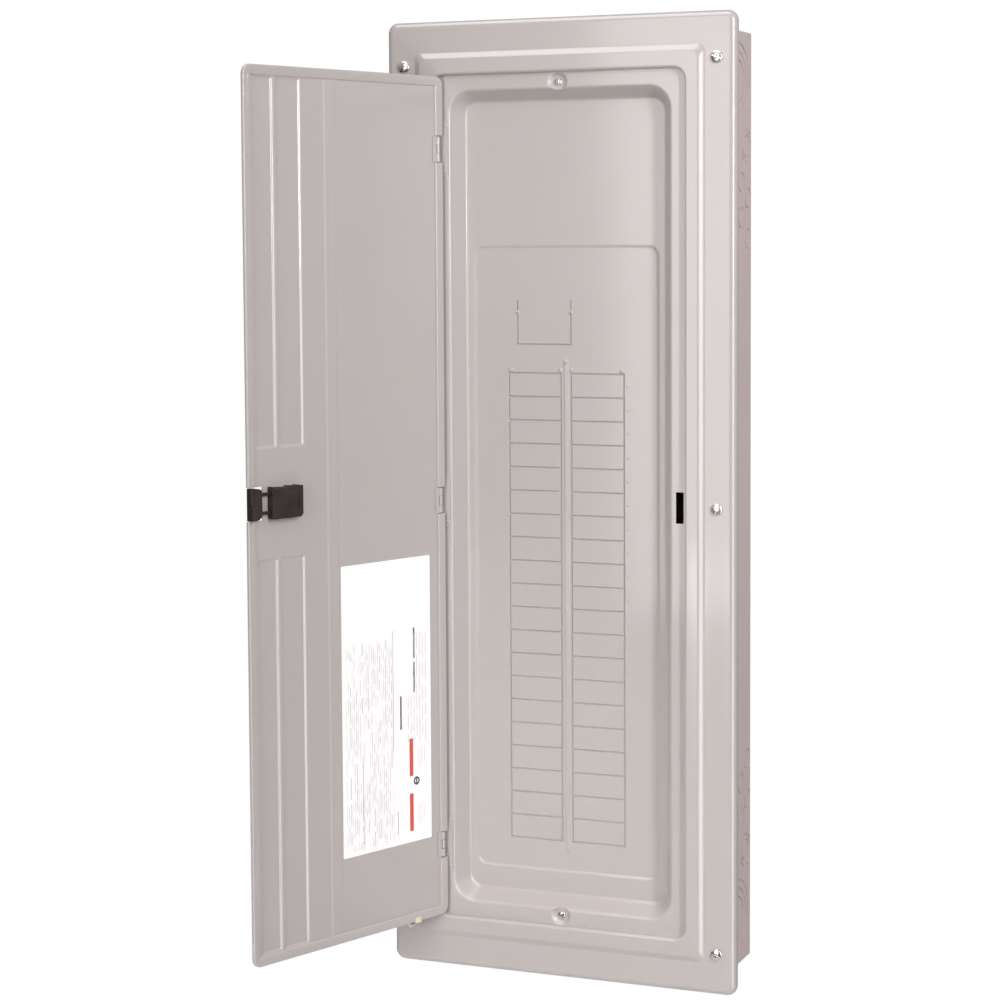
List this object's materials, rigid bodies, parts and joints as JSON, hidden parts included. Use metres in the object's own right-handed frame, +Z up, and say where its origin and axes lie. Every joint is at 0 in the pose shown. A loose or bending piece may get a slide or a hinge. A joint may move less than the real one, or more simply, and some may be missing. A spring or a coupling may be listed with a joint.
{
  "type": "subpanel enclosure",
  "caption": "Tall flush-mounted electrical subpanel enclosure with trim, hinged door, dead front and bus interior.",
  "frame": {"origin": "centre of the box's outside back face, where it meets the wall or stud space behind it", "axes": "+Z up along the enclosure's height, +Y into the wall, so the front faces -Y, +X to the viewer's right"},
  "size_m": [0.4294, 0.3762, 1.029],
  "materials": {
    "grey_paint": "satin warm light grey baked enamel on sheet steel",
    "zinc_steel": "bright zinc plate",
    "galvanised_steel": "dull galvanised sheet",
    "bus_aluminium": "tin-plated aluminium",
    "insulator_plastic": "moulded dark grey thermoset",
    "latch_plastic": "moulded black nylon",
    "label_paper": "white self-adhesive label",
    "cream_plastic": "cream nylon"
  },
  "bodies": {
    "enclosure": {"enclosure_box": "grey_paint", "trim_cover": "grey_paint", "dead_front": "grey_paint", "trim_screw_top_left": "zinc_steel", "trim_screw_top_right": "zinc_steel", "trim_screw_middle_left": "zinc_steel", "trim_screw_middle_right": "zinc_steel", "trim_screw_bottom_left": "zinc_steel", "trim_screw_bottom_right": "zinc_steel", "dead_front_screw_top": "zinc_steel", "dead_front_screw_bottom": "zinc_steel", "dead_front_support_top": "galvanised_steel", "dead_front_support_bottom": "galvanised_steel", "interior_pan": "galvanised_steel", "pan_screw_top_left": "zinc_steel", "pan_screw_top_right": "zinc_steel", "pan_screw_bottom_left": "zinc_steel", "pan_screw_bottom_right": "zinc_steel", "bus_support_upper": "insulator_plastic", "bus_support_middle": "insulator_plastic", "bus_support_lower": "insulator_plastic", "bus_bar_left": "bus_aluminium", "bus_bar_right": "bus_aluminium", "bus_screw_upper_left": "zinc_steel", "bus_screw_upper_right": "zinc_steel", "bus_screw_lower_left": "zinc_steel", "bus_screw_lower_right": "zinc_steel", "main_lug_left": "bus_aluminium", "main_lug_right": "bus_aluminium", "lug_screw_left": "zinc_steel", "lug_screw_right": "zinc_steel", "neutral_bar_left": "bus_aluminium", "neutral_bar_right": "bus_aluminium", "neutral_insulator_upper_left": "insulator_plastic", "neutral_insulator_upper_right": "insulator_plastic", "neutral_insulator_lower_left": "insulator_plastic", "neutral_insulator_lower_right": "insulator_plastic", "neutral_strap": "bus_aluminium", "neutral_lug": "bus_aluminium", "ground_bar": "bus_aluminium", "hinge_trim_leaf_upper": "grey_paint", "hinge_trim_leaf_middle": "grey_paint", "hinge_trim_leaf_lower": "grey_paint", "hinge_pin_upper": "zinc_steel", "hinge_pin_middle": "zinc_steel", "hinge_pin_lower": "zinc_steel"},
    "door": {"door": "grey_paint", "latch_housing": "latch_plastic", "door_label": "label_paper", "door_bumper": "cream_plastic", "hinge_door_leaf_upper": "grey_paint", "hinge_door_leaf_middle": "grey_paint", "hinge_door_leaf_lower": "grey_paint"},
    "latch": {"latch_slide": "latch_plastic"}
  },
  "joints": [
    {"name": "door_hinge", "type": "hinge", "parent": "enclosure", "child": "door", "pos_m": [-0.1354, -0.1124, 0], "axis": [0, 0, -1], "range_deg": [-110.5, 19.5]},
    {"name": "latch_travel", "type": "slide", "parent": "door", "child": "latch", "axis": [0.3502, 0.9367, 0], "range_m": [0, 0.004], "stiffness_N_per_m": 400}
  ]
}
